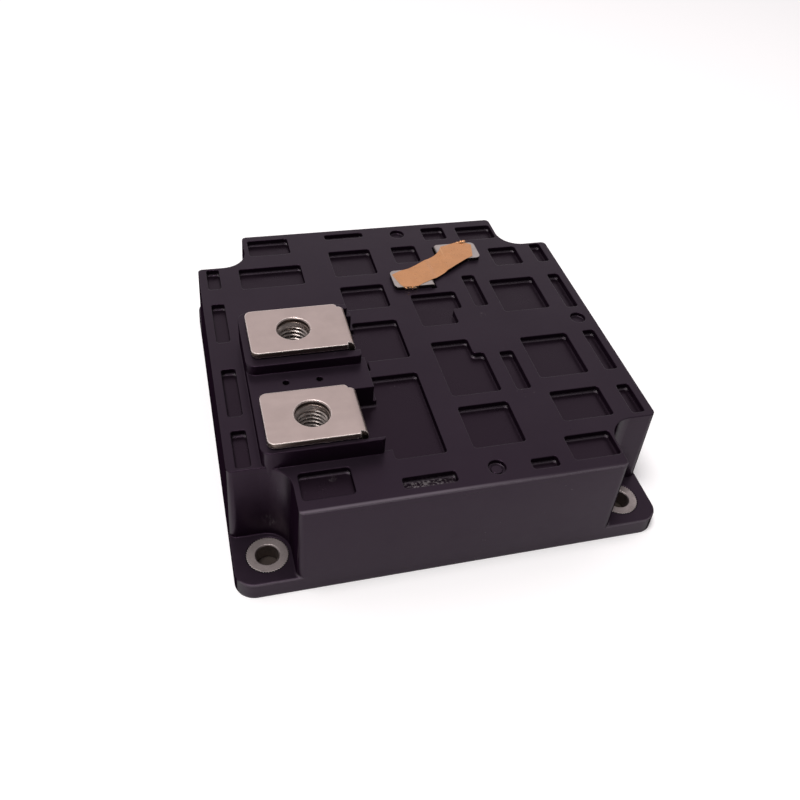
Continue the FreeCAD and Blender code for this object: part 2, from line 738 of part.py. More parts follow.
def chamfer_round_edge(body, name, level, radius, amount):
    """Chamfer the body's circular edge that has this radius at this height."""
    base = body.Tip
    chamfer = body.newObject("PartDesign::Chamfer", name)
    chamfer.Base = (base, [round_edge_at(base, level, radius)])
    chamfer.setExpression("Size", bind(amount))
    doc.recompute()


def round_edge_at(base, level, radius):
    for number, edge in enumerate(base.Shape.Edges, start=1):
        curve = edge.Curve
        if not isinstance(curve, Part.Circle) or not edge.isClosed():
            continue
        if abs(curve.Radius - size(radius)) < 1e-4 and abs(curve.Center.z - size(level)) < 1e-4:
            return "Edge%d" % number
    raise RuntimeError("no circular edge at this level")


def add_leg(body, label, name, seat, rear, front, bus_level, bus_right):
    """Part of a busbar's leg between two places along Y.

    With bus_right it turns into a level bus towards +X. Without it, it goes straight down to the
    substrate and ends in a foot towards -X.
    """
    face = name + "_leg_face"
    inner_face = face + " - busbar_thickness"
    start = face + " - (" + OUTER_BEND + ") - root_overlap"
    top = seat + " + busbar_thickness"
    profile = Outline(body, label, "XZ_Plane", "-(" + rear + ")")
    if bus_right:
        sides = [start, top, face, bus_level + " + busbar_thickness", bus_right, bus_level, inner_face, seat]
        radii = [None, OUTER_BEND, BEND, None, None, OUTER_BEND, BEND, None]
    else:
        toe = inner_face + " - foot_length"
        heel = CIRCUIT_TOP + " + busbar_thickness"
        sides = [start, top, face, CIRCUIT_TOP, toe, heel, inner_face, seat]
        radii = [None, OUTER_BEND, OUTER_BEND, None, None, BEND, BEND, None]
    profile.loop(sides, radii)
    pad(body, profile, rear + " - (" + front + ")")


def add_finger(body, label, left, edge_y, side, bus_level):
    """A finger that bends down off a bus edge and ends in an outward foot on the circuit copper."""
    reach = "%d * (%s)" % (side, OUTER_BEND)
    outer_face = "%s + %s" % (edge_y, reach)
    inner_face = "%s + %d * bend_inside_radius" % (edge_y, side)
    start = "%s - %d * root_overlap" % (edge_y, side)
    toe = "%s + %d * foot_length" % (outer_face, side)
    top = bus_level + " + busbar_thickness"
    heel = CIRCUIT_TOP + " + busbar_thickness"
    profile = Outline(body, label, "YZ_Plane", left)
    sides = [start, top, outer_face, heel, toe, CIRCUIT_TOP, inner_face, bus_level]
    profile.loop(sides, [None, OUTER_BEND, BEND, None, None, OUTER_BEND, BEND, None])
    pad(body, profile, "finger_width")


def make_collector_terminal():
    """Busbar from the rear bolt plate down to the collector copper of the four substrates."""
    name, seat, level = "collector", COLLECTOR_SEAT, "collector_bus_level"
    body = new_body("collector_terminal")
    rear, front = leg_ends(name)
    split = front + " + collector_foot_width"
    bus_front = split + " + root_overlap"
    chip_edge = "-(diode_row - diode_size / 2 - foot_edge_gap)"
    add_terminal_plate(body, name, seat)
    add_leg(body, "collector_bus_leg", name, seat, rear, bus_front, level, "collector_bus_right")
    add_leg(body, "collector_foot_leg", name, seat, split, chip_edge, level, None)
    add_leg_web(body, name, seat, bus_front, front, level)
    left_place = "-finger_place - finger_width / 2 + left_finger_shift"
    right_place = "finger_place - finger_width / 2"
    add_finger(body, "collector_finger_left", left_place, rear, 1, level)
    add_finger(body, "collector_finger_right", right_place, rear, 1, level)
    add_finger(body, "collector_finger_front", right_place, bus_front, -1, level)
    drill_terminal_plate(body, name, seat)
    return body


def add_leg_web(body, name, seat, rear, front, level):
    """Upper stretch of the leg that carries its foot part beside its bus part."""
    face = name + "_leg_face"
    start = face + " - (" + OUTER_BEND + ") - root_overlap"
    web = Outline(body, name + "_leg_web", "XZ_Plane", "-(" + rear + ")")
    web.loop([start, seat + " + busbar_thickness", face, level + " + 3 * busbar_thickness",
              face + " - busbar_thickness", seat],
             [None, OUTER_BEND, None, None, BEND, None])
    pad(body, web, rear + " - (" + front + ")")


def make_emitter_terminal():
    """Busbar from the front bolt plate round to the emitter copper of the four substrates."""
    name, seat, level = "emitter", EMITTER_SEAT, "emitter_bus_level"
    body = new_body("emitter_terminal")
    rear, front = leg_ends(name)
    split = rear + " - emitter_bus_lane"
    copper_edge = "-(substrate_inner_y + substrate_depth - copper_margin - foot_edge_gap)"
    add_terminal_plate(body, name, seat)
    add_leg(body, "emitter_bus_leg", name, seat, rear, split, level, "emitter_bus_right")
    add_leg(body, "emitter_foot_leg", name, seat, split + " - emitter_foot_gap", copper_edge, level, None)
    add_leg_web(body, name, seat, split, front, level)
    arm = Outline(body, "emitter_bus_arm", "XY_Plane", level)
    mirror_front = "-(" + rear + ")"
    mirror_rear = "-(" + split + ")"
    right = "emitter_bus_right"
    left = "emitter_leg_face - root_overlap"
    arm.loop([left, mirror_rear, right, rear + " - emitter_bus_lane / 2", right + " - emitter_bus_lane",
              mirror_front])
    pad(body, arm, "busbar_thickness")
    right_place = "emitter_finger_place - finger_width"
    add_finger(body, "emitter_finger_front", right_place, split, -1, level)
    add_finger(body, "emitter_finger_right", right_place, mirror_rear, 1, level)
    add_finger(body, "emitter_finger_left", "emitter_left_finger", mirror_rear, 1, level)
    drill_terminal_plate(body, name, seat)
    return body


def make_terminal_nut(name, seat):
    """Captive hex nut, flush with its seat, with a chamfered thread mouth."""
    floor = seat + " - nut_height"
    return make_nut(name + "_nut", "terminal_hole_x", name + "_hole_y", floor, "nut_across_flats",
                    "nut_height", "nut_thread_radius", "nut_mouth_chamfer")


def make_aux_nut(name):
    hole_x, hole_y = aux_hole(name)
    return make_nut(name + "_nut", hole_x, hole_y, "housing_top - aux_nut_height", "aux_nut_across_flats",
                    "aux_nut_height", "aux_thread_radius", "nut_mouth_chamfer / 2")


def make_nut(label, place_x, place_y, floor, across_flats, height, bore, chamfer):
    body = new_body(label)
    outline = Outline(body, label + "_outline", "XY_Plane", floor)
    outline.hexagon(place_x, place_y, across_flats)
    outline.circle(place_x, place_y, bore)
    pad(body, outline, height)
    chamfer_round_edge(body, label + "_mouth", floor + " + " + height, bore, chamfer)
    return body


def make_aux_terminal(name):
    """Auxiliary tab: a flat plate with a bolt hole and a leg down to the circuit copper."""
    body = new_body(name + "_terminal")
    side = 1 if name == "gate" else -1
    hole_x, hole_y = aux_hole(name)
    face = name + "_leg_face"
    floor = "housing_top + tab_lift"
    bend = "tab_bend_radius + tab_thickness"
    far = "%s - %d * %s_tab_length" % (face, side, name)
    near = "%s - %d * (%s)" % (face, side, bend)
    rear = hole_y + " + tab_width / 2"
    front = hole_y + " - tab_width / 2"
    plate = Outline(body, name + "_tab_outline", "XY_Plane", floor)
    plate.loop([far, rear, near, front], ["tab_corner_radius", None, None, "tab_corner_radius"])
    pad(body, plate, "tab_thickness")

    inner_face = "%s - %d * tab_thickness" % (face, side)
    start = "%s - %d * root_overlap" % (near, side)
    leg_end = "housing_top - roof_thickness - tab_leg_reach"
    leg = Outline(body, name + "_leg_profile", "XZ_Plane", "-(" + rear + ")")
    leg.loop([start, TAB_TOP, face, leg_end, inner_face, floor],
             [None, bend, None, None, "tab_bend_radius", None])
    pad(body, leg, "tab_width")

    toe = "%s - %d * tab_foot_length" % (inner_face, side)
    heel = CIRCUIT_TOP + " + tab_thickness"
    foot_width = name + "_foot_width"
    foot_rear = front + " + " + name + "_foot_shift + " + foot_width
    foot = Outline(body, name + "_foot_profile", "XZ_Plane", "-(" + foot_rear + ")")
    foot.loop([inner_face, leg_end + " + root_overlap", face, CIRCUIT_TOP, toe, heel],
              [None, None, bend, None, None, "tab_bend_radius"])
    pad(body, foot, foot_width)

    hole = Outline(body, name + "_bolt_hole", "XY_Plane", TAB_TOP)
    hole.circle(hole_x, hole_y, "tab_hole_radius")
    pocket(body, hole, "tab_thickness + cut_overrun")
    return body


def foil_corner(number, tab, across):
    """Place of one corner of the foil, from its tab's leg face and middle line or wrapped edge."""
    place_x = "%s_leg_face + foil_corner_%d_along" % (tab, number)
    wrap = "tab_width / 2 + foil_edge_gap + foil_thickness"
    if across == "front":
        return place_x, "%s_tab_y - (%s)" % (tab, wrap)
    if across == "rear":
        return place_x, "%s_tab_y + %s" % (tab, wrap)
    return place_x, "%s_tab_y + foil_corner_%d_across" % (tab, number)


def make_shorting_foil():
    """Copper foil laid flat over both tabs, with a flap folded down past one edge of each tab."""
    body = new_body("shorting_foil")
    corners = [foil_corner(number, tab, across)
               for number, (tab, _, across) in enumerate(FOIL_CORNERS, start=1)]
    sheet_outline = Outline(body, "foil_outline", "XY_Plane", TAB_TOP)
    sheet_outline.polygon(corners)
    pad(body, sheet_outline, "foil_thickness")
    wrapped = {side: [corner for corner, (_, _, across) in zip(corners, FOIL_CORNERS) if across == side]
               for side in ("front", "rear")}
    flaps = Outline(body, "foil_flaps", "XY_Plane", TAB_TOP + " + foil_thickness / 2")
    (left, front), (right, _) = wrapped["front"]
    flaps.box(left + " + foil_fold_inset", right + " - foil_fold_inset", front, front + " + foil_thickness")
    (right, rear), (left, _) = wrapped["rear"]
    flaps.box(left + " + foil_fold_inset", right + " - foil_fold_inset", rear + " - foil_thickness", rear)
    pad(body, flaps, "foil_fold + foil_thickness / 2", downward=True)
    return body


def substrate_box(side_x, side_y, inset_in, inset_out, front_in, rear_out):
    """Left, right, front and rear of a rectangle given by its distances from the module's centre lines."""
    near_x = "%d * (%s)" % (side_x, inset_in)
    far_x = "%d * (%s)" % (side_x, inset_out)
    near_y = "%d * (%s)" % (side_y, front_in)
    far_y = "%d * (%s)" % (side_y, rear_out)
    left, right = (near_x, far_x) if side_x > 0 else (far_x, near_x)
    front, rear = (near_y, far_y) if side_y > 0 else (far_y, near_y)
    return left, right, front, rear


def make_layer(label, boxes, floor, thickness, radius=None):
    """One flat layer made of rectangles at one level."""
    body = new_body(label)
    body.AllowCompound = True
    outline = Outline(body, label + "_outline", "XY_Plane", floor)
    for box in boxes:
        outline.box(*box, radius)
    pad(body, outline, thickness)
    return body


def make_substrate(number, side_x, side_y):
    inner_x, inner_y = "substrate_inner_x", "substrate_inner_y"
    outer_x = inner_x + " + substrate_length"
    outer_y = inner_y + " + substrate_depth"
    margin = "copper_margin"
    gate_edge = inner_x + " + copper_margin + gate_strip_width"
    strip_edge = outer_y + " - copper_margin - emitter_strip_depth"
    whole = substrate_box(side_x, side_y, inner_x, outer_x, inner_y, outer_y)
    backing = substrate_box(side_x, side_y, inner_x + " + " + margin, outer_x + " - " + margin,
                            inner_y + " + " + margin, outer_y + " - " + margin)
    gate = substrate_box(side_x, side_y, inner_x + " + " + margin, gate_edge, inner_y + " + " + margin,
                         strip_edge + " - copper_gap")
    collector = substrate_box(side_x, side_y, gate_edge + " + copper_gap", outer_x + " - " + margin,
                              inner_y + " + " + margin, strip_edge + " - copper_gap")
    emitter = substrate_box(side_x, side_y, inner_x + " + " + margin, outer_x + " - " + margin, strip_edge,
                            outer_y + " - " + margin)
    circuit = [gate, collector, emitter]
    return [
        make_layer("backing_copper_%d" % number, [backing], "base_thickness", "backing_thickness"),
        make_layer("ceramic_%d" % number, [whole], CERAMIC_FLOOR, "ceramic_thickness"),
        make_layer("circuit_copper_%d" % number, circuit, CIRCUIT_FLOOR, "circuit_thickness"),
    ]


def chip_centre(column):
    """Distance of a chip column from the module's centre line."""
    strip = "substrate_inner_x + copper_margin + gate_strip_width + copper_gap"
    return strip + " + first_chip_column + %d * chip_column_pitch" % column


def make_chip(kind, number, side_x, side_y, column):
    row = kind + "_row"
    half = kind + "_size / 2"
    place = chip_centre(column)
    box = substrate_box(side_x, side_y, place + " - " + half, place + " + " + half, row + " - " + half,
                        row + " + " + half)
    return make_layer("%s_chip_%d" % (kind, number), [box], CIRCUIT_TOP, "chip_thickness")


def strip_face(points, thickness):
    """Upright face between a bent line of points and the same line raised by the strip's thickness."""
    raised = [point + FreeCAD.Vector(0, 0, thickness) for point in reversed(points)]
    return Part.Face(Part.makePolygon(points + raised + points[:1]))


def ribbon_profile(side_y):
    """Side view of one stitched ribbon: feet on diode, switch chip and emitter copper, with two loops."""
    foot = size("ribbon_foot") / 2
    rise = size("ribbon_rise")
    strip_middle = "substrate_inner_y + substrate_depth - copper_margin - emitter_strip_depth / 2"
    stops = [(size("diode_row"), size(CHIP_TOP)), (size("igbt_row"), size(CHIP_TOP)),
             (size(strip_middle + " - ribbon_end_inset"), size(CIRCUIT_TOP))]
    peak = size(CHIP_TOP + " + ribbon_loop")
    line = []
    for index, (along, level) in enumerate(stops):
        if index > 0:
            line.append((along - foot - rise, peak))
        line += [(along - foot, level), (along + foot, level)]
        if index + 1 < len(stops):
            line.append((along + foot + rise, peak))
    points = [FreeCAD.Vector(0, side_y * along, level) for along, level in line]
    return strip_face(points, size("ribbon_thickness"))


def make_ribbons(number, side_x, side_y):
    """Two stitched ribbons for each chip column of a substrate."""
    face = ribbon_profile(side_y)
    width = size("ribbon_width")
    solids = []
    for column in (0, 1):
        for side in (-1, 1):
            centre = side_x * size(chip_centre(column)) + side * size("ribbon_pitch") / 2
            ribbon = face.extrude(FreeCAD.Vector(width, 0, 0))
            ribbon.translate(FreeCAD.Vector(centre - width / 2, 0, 0))
            solids.append(ribbon)
    feature = doc.addObject("Part::Feature", "bond_ribbons_%d" % number)
    feature.Label = "bond_ribbons_%d" % number
    feature.Shape = Part.makeCompound(solids)
    return feature


def make_link(start, end):
    """One bridge wire of square section with a foot at each end and a raised level run between."""
    width = size("link_width")
    foot = size("link_foot")
    loop = size("link_loop")
    along = (end - start).normalize()
    across = FreeCAD.Vector(0, 0, 1).cross(along)
    lift = FreeCAD.Vector(0, 0, loop)
    corner = start + along * foot
    far_corner = end - along * foot
    points = [start, corner, corner + along * loop + lift, far_corner - along * loop + lift, far_corner, end]
    link = strip_face(points, width).extrude(across * width)
    link.translate(across * (-width / 2))
    return link


def make_gate_links():
    """Three bridge wires that join the gate strips of the four substrates."""
    strip_x = size("substrate_inner_x + copper_margin + gate_strip_width / 2")
    strip_y = size("substrate_inner_y + copper_margin + link_inset + link_foot")
    cross_y = strip_y + size("link_spacing")
    reach_x = strip_x + size("link_foot") / 2
    level = size(CIRCUIT_TOP)
    spans = [((-reach_x, cross_y), (reach_x, cross_y)), ((-strip_x, strip_y), (-strip_x, -strip_y)),
             ((strip_x, strip_y), (strip_x, -strip_y))]
    links = [make_link(FreeCAD.Vector(*start, level), FreeCAD.Vector(*end, level)) for start, end in spans]
    feature = doc.addObject("Part::Feature", "gate_links")
    feature.Label = "gate_links"
    feature.Shape = Part.makeCompound(links)
    return feature


def make_gel(buried):
    """Soft potting that fills the lower cavity round everything that stands on the base plate."""
    body = doc.addObject("PartDesign::Body", "gel_block")
    wall = " - wall_thickness - gel_clearance"
    outline = Outline(body, "gel_outline", "XY_Plane", "base_thickness")
    add_cross_loop(outline, "housing_width / 2" + wall, "housing_depth / 2" + wall,
                   "housing_width / 2 - notch_width" + wall, "housing_depth / 2 - notch_depth" + wall,
                   "cavity_corner_radius", "notch_radius")
    pad(body, outline, "gel_level - base_thickness")
    inserts = doc.addObject("Part::Compound", "gel_inserts")
    inserts.Links = buried
    gel = doc.addObject("Part::Cut", "silicone_gel")
    gel.Label = "silicone_gel"
    gel.Base = body
    gel.Tool = inserts
    doc.recompute()
    return gel


def make_all():
    parts = [make_housing(), make_base_plate()]
    for number, (side_x, side_y) in enumerate(CORNERS, start=1):
        parts.append(make_bushing(number, side_x, side_y))
    buried = [make_collector_terminal(), make_emitter_terminal(), make_aux_terminal("gate"),
              make_aux_terminal("sense")]
    parts += [make_terminal_nut("collector", COLLECTOR_SEAT), make_terminal_nut("emitter", EMITTER_SEAT),
              make_aux_nut("gate"), make_aux_nut("sense"), make_shorting_foil()]
    for number, (side_x, side_y) in enumerate(CORNERS, start=1):
        buried += make_substrate(number, side_x, side_y)
        for column in (0, 1):
            buried.append(make_chip("igbt", 2 * number - 1 + column, side_x, side_y, column))
            buried.append(make_chip("diode", 2 * number - 1 + column, side_x, side_y, column))
        buried.append(make_ribbons(number, side_x, side_y))
    buried.append(make_gate_links())
    return parts + buried + [make_gel(buried)]


def check_and_write(parts):
    """Refuse a failed object or an unsound shape, then write one file for each sub-part."""
    doc.recompute()
    for item in doc.Objects:
        if "Invalid" in item.State or "Error" in item.State:
            raise RuntimeError(item.Name + " did not compute")
    for item in parts:
        if item.Shape.isNull() or not item.Shape.isValid() or not item.Shape.Solids:
            raise RuntimeError(item.Label + " has no sound shape")
    for item in parts:
        item.Shape.exportStep("parts/" + item.Label + ".step")
        print(item.Label, len(item.Shape.Solids), "solid(s), volume", round(item.Shape.Volume, 2))


check_and_write(make_all())
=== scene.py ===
import json
import math

import bmesh
import bpy
from mathutils import Matrix, Vector, noise


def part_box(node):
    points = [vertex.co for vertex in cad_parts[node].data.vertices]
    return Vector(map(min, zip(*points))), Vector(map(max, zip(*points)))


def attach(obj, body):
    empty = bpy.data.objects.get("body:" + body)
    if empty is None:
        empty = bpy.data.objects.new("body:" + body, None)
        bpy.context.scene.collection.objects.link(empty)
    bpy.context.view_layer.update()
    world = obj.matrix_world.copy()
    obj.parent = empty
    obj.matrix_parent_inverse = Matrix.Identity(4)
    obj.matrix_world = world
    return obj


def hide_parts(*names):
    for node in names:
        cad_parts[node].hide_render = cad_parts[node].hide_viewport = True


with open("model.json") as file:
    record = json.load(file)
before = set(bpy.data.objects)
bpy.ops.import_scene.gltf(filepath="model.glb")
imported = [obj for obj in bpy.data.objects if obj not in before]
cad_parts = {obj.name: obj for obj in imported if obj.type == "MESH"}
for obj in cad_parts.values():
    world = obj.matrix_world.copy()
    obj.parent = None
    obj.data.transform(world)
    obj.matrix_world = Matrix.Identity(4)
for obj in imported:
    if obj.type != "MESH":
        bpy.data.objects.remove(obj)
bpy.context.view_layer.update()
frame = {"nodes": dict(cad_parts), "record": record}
nodes = frame["nodes"]

MM = 0.001

# Camera: where it looks on the module, how far away it stands and how it is turned
CAMERA_AIM = Vector((-4.74, -9.29, 14.0)) * MM
CAMERA_DISTANCE = 230.7 * MM
CAMERA_AZIMUTH = math.radians(18.52)
CAMERA_ELEVATION = math.radians(43.98)
CAMERA_ROLL = math.radians(6.11)
CAMERA_LENS = 37.79
SENSOR_WIDTH = 36.0
CAMERA_NEAR = 0.01
CAMERA_FAR = 20.0


def place_camera():
    """A camera that looks down on the module from the front, turned a little about its line of sight."""
    data = bpy.data.cameras.new("camera")
    data.lens = CAMERA_LENS
    data.sensor_width = SENSOR_WIDTH
    data.clip_start = CAMERA_NEAR
    data.clip_end = CAMERA_FAR
    camera = bpy.data.objects.new("camera", data)
    bpy.context.scene.collection.objects.link(camera)
    level = math.cos(CAMERA_ELEVATION)
    forward = Vector((math.sin(CAMERA_AZIMUTH) * level, math.cos(CAMERA_AZIMUTH) * level,
                      -math.sin(CAMERA_ELEVATION)))
    side = forward.cross(Vector((0, 0, 1))).normalized()
    above = side.cross(forward)
    right = side * math.cos(CAMERA_ROLL) + above * math.sin(CAMERA_ROLL)
    up = right.cross(forward)
    turn = Matrix((right, up, -forward)).transposed()
    camera.matrix_world = Matrix.Translation(CAMERA_AIM - forward * CAMERA_DISTANCE) @ turn.to_4x4()
    bpy.context.scene.camera = camera


place_camera()


# Places and levels read from the frame, and the depth of the moulding's pockets
def box_of(node):
    low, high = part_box(node)
    return Vector(low), Vector(high)


HOUSING_LOW, HOUSING_HIGH = box_of("housing")
GATE_TAB_RIGHT = box_of("gate_terminal")[1].x
SENSE_LOW = box_of("sense_terminal")[0]
FACE_LEVEL = box_of("gate_nut")[1].z
POCKET_DEPTH = 1.8 * MM
POCKET_FLOOR = FACE_LEVEL - POCKET_DEPTH


class Shader:
    """One node material, with short calls for the nodes that its patterns need."""

    def __init__(self, name):
        self.material = bpy.data.materials.new(name)
        self.material.use_nodes = True
        self.tree = self.material.node_tree
        self.surface = self.tree.nodes["Principled BSDF"]
        self.place = self.tree.nodes.new("ShaderNodeTexCoord").outputs["Object"]

    def link(self, source, target):
        self.tree.links.new(source, target)

    def set(self, **values):
        for name, value in values.items():
            self.surface.inputs[name.replace("_", " ")].default_value = value

    def stretched(self, x, y, z):
        """Coordinates scaled by direction, for brushed or drawn patterns."""
        node = self.tree.nodes.new("ShaderNodeMapping")
        node.inputs["Scale"].default_value = (x, y, z)
        self.link(self.place, node.inputs["Vector"])
        return node.outputs["Vector"]

    def noise(self, scale, detail=4.0, rough=0.55, vector=None):
        node = self.tree.nodes.new("ShaderNodeTexNoise")
        node.inputs["Scale"].default_value = scale
        node.inputs["Detail"].default_value = detail
        node.inputs["Roughness"].default_value = rough
        self.link(vector or self.place, node.inputs["Vector"])
        return node.outputs["Fac"]

    def cells(self, scale):
        """Distance from the nearest of many scattered points."""
        node = self.tree.nodes.new("ShaderNodeTexVoronoi")
        node.inputs["Scale"].default_value = scale
        self.link(self.place, node.inputs["Vector"])
        return node.outputs["Distance"]

    def ramp(self, value, low, high, start=0.0, end=1.0):
        """Passes from start to end while the value passes from low to high."""
        node = self.tree.nodes.new("ShaderNodeMapRange")
        node.inputs["From Min"].default_value = low
        node.inputs["From Max"].default_value = high
        node.inputs["To Min"].default_value = start
        node.inputs["To Max"].default_value = end
        self.link(value, node.inputs["Value"])
        return node.outputs["Result"]

    def math(self, kind, first, second):
        node = self.tree.nodes.new("ShaderNodeMath")
        node.operation = kind
        for number, value in enumerate((first, second)):
            if isinstance(value, (int, float)):
                node.inputs[number].default_value = value
            else:
                self.link(value, node.inputs[number])
        return node.outputs[0]

    def times(self, *values):
        """The product of several masks."""
        product = values[0]
        for value in values[1:]:
            product = self.math("MULTIPLY", product, value)
        return product

    def mix(self, factor, first, second):
        """The first colour where the factor is 0 and the second where it is 1."""
        node = self.tree.nodes.new("ShaderNodeMix")
        node.data_type = "RGBA"
        self.link(factor, node.inputs["Factor"])
        for socket, colour in ((node.inputs[6], first), (node.inputs[7], second)):
            if isinstance(colour, tuple):
                socket.default_value = colour + (1.0,)
            else:
                self.link(colour, socket)
        return node.outputs[2]

    def parts_of(self, vector):
        """The X, Y and Z outputs of a vector."""
        node = self.tree.nodes.new("ShaderNodeSeparateXYZ")
        self.link(vector, node.inputs[0])
        return node.outputs

    def axis(self, name):
        """The place on the module along X, Y or Z."""
        return self.parts_of(self.place)[name]

    def face_normal(self):
        return self.tree.nodes.new("ShaderNodeNewGeometry").outputs["True Normal"]

    def band(self, value, low, high, soft):
        """1 between two values and 0 outside them, with soft edges."""
        rise = self.ramp(value, low - soft, low + soft)
        fall = self.ramp(value, high - soft, high + soft, 1.0, 0.0)
        return self.times(rise, fall)

    def bevel(self, radius, samples=6):
        """A normal that rounds every edge. The radius is a number or a value that varies by place."""
        node = self.tree.nodes.new("ShaderNodeBevel")
        node.samples = samples
        if isinstance(radius, float):
            node.inputs["Radius"].default_value = radius
        else:
            self.link(radius, node.inputs["Radius"])
        return node.outputs["Normal"]

    def bump(self, height, strength, distance, normal=None):
        """A normal tilted by a height pattern, on top of another normal if there is one."""
        node = self.tree.nodes.new("ShaderNodeBump")
        node.inputs["Strength"].default_value = strength
        node.inputs["Distance"].default_value = distance
        self.link(height, node.inputs["Height"])
        if normal:
            self.link(normal, node.inputs["Normal"])
        return node.outputs["Normal"]

    def facing_up(self):
        """1 on level faces and 0 on upright ones."""
        return self.ramp(self.parts_of(self.face_normal())["Z"], 0.2, 0.8)

    def rounded_edge_mask(self, rounded, low, high):
        """1 along rounded edges, where the rounded normal leaves the face's own, and 0 on flat faces."""
        node = self.tree.nodes.new("ShaderNodeVectorMath")
        node.operation = "DOT_PRODUCT"
        self.link(rounded, node.inputs[0])
        self.link(self.face_normal(), node.inputs[1])
        return self.ramp(node.outputs["Value"], low, high, 1.0, 0.0)

    def near(self, centre, reach):
        """1 at a place on the module and 0 beyond a reach from it."""
        node = self.tree.nodes.new("ShaderNodeVectorMath")
        node.operation = "DISTANCE"
        self.link(self.place, node.inputs[0])
        node.inputs[1].default_value = centre
        return self.ramp(node.outputs["Value"], reach * 0.3, reach, 1.0, 0.0)

    def at_grazing(self, seen_flat, seen_along):
        """One value where a face is seen squarely, passing to another where it is seen edge-on."""
        node = self.tree.nodes.new("ShaderNodeLayerWeight")
        return self.ramp(node.outputs["Facing"], 0.50, 0.74, seen_flat, seen_along)

    def colour(self, value):
        self.link(value, self.surface.inputs["Base Color"])

    def roughness(self, value):
        self.link(value, self.surface.inputs["Roughness"])

    def normal(self, value):
        self.link(value, self.surface.inputs["Normal"])


# Tones of the moulding: cloudy top, painted shade on upright walls and pocket floors, and dust
PLASTIC_DARK = (0.0094, 0.0065, 0.0099)
PLASTIC_LIGHT = (0.0130, 0.0092, 0.0134)
WALL_SHADE = (0.0080, 0.0036, 0.0082)
POCKET_SHADE = (0.0060, 0.0036, 0.0058)
PLASTIC_DUST = (0.16, 0.145, 0.15)
# Painted highlights on the moulding's rounded edges, mixed into its base colour
FRONT_EDGE_LIGHT = (0.115, 0.100, 0.115)
POCKET_FOOT_LIGHT = (0.050, 0.043, 0.050)
POCKET_CORNER_LIGHT = (0.27, 0.25, 0.265)

# How far the moulding's edges are rounded: all of them, more at pocket floors and at the front edge
EDGE_ROUNDING = 0.45 * MM
FOOT_ROUNDING = 0.55 * MM
FRONT_ROUNDING = 0.45 * MM

# Painted highlight ridge on the top face, between two distances from the front
RIDGE_START = HOUSING_LOW.y + 0.95 * MM
RIDGE_END = HOUSING_LOW.y + 1.75 * MM

# Scuffs on the moulding: place and reach in millimetres
SCUFFS = [((-45.2, -40.6, 9.4), 2.6), ((-30.5, -43.6, 26.8), 1.4), ((22.5, 6.6, 28.0), 1.2)]
SLOT_SCUFF = ((-9.8, -50.2, 26.2), 9.0)


def moulding_dust(shader, pocket_floor, level):
    """Sparse dust specks, light scuffs at a few places and a rubbed floor in the long front slot."""
    specks = shader.ramp(shader.cells(620), 0.05, 0.09, 1.0, 0.0)
    rare = shader.ramp(shader.noise(70, 2.0), 0.60, 0.68)
    dust = shader.times(specks, rare, 0.35)
    streaks = shader.ramp(shader.noise(700, 6.0, 0.75, shader.stretched(1.0, 0.6, 0.35)), 0.52, 0.62)
    for place, reach in SCUFFS:
        scuff = shader.times(shader.near(Vector(place) * MM, reach * MM), streaks, 0.5)
        dust = shader.math("MAXIMUM", dust, scuff)
    place, reach = SLOT_SCUFF
    flecks = shader.ramp(shader.noise(1400, 4.0, 0.7), 0.50, 0.60)
    rubbed = shader.times(shader.near(Vector(place) * MM, reach * MM), pocket_floor, level, flecks, 0.8)
    return shader.math("MAXIMUM", dust, rubbed)


def edge_light(shader, tone, rounded, foot, front):
    """Painted highlights on rounded edges: the front top edge, the foot of pocket walls and their rear
    corners.
    """
    lean = shader.parts_of(rounded)
    forward = shader.ramp(lean["Y"], -0.42, -0.08, 1.0, 0.0)
    sheen = shader.times(forward, shader.ramp(lean["Z"], 0.08, 0.42))
    ridge = shader.band(shader.axis("Y"), RIDGE_START, RIDGE_END, 0.2 * MM)
    fading = shader.ramp(shader.axis("X"), -0.1 * HOUSING_HIGH.x, 0.4 * HOUSING_HIGH.x, 0.80, 0.10)
    on_top = shader.ramp(shader.axis("Z"), FACE_LEVEL - 0.5 * MM, FACE_LEVEL - 0.2 * MM)
    front_light = shader.math("MAXIMUM", shader.times(sheen, front), shader.times(ridge, fading, on_top))
    tone = shader.mix(front_light, tone, FRONT_EDGE_LIGHT)
    tone = shader.mix(shader.times(sheen, foot), tone, POCKET_FOOT_LIGHT)
    leftward = shader.ramp(lean["X"], -0.55, -0.25, 1.0, 0.0)
    glint = shader.times(leftward, forward, shader.ramp(lean["Z"], 0.10, 0.35), foot)
    return shader.mix(glint, tone, POCKET_CORNER_LIGHT)


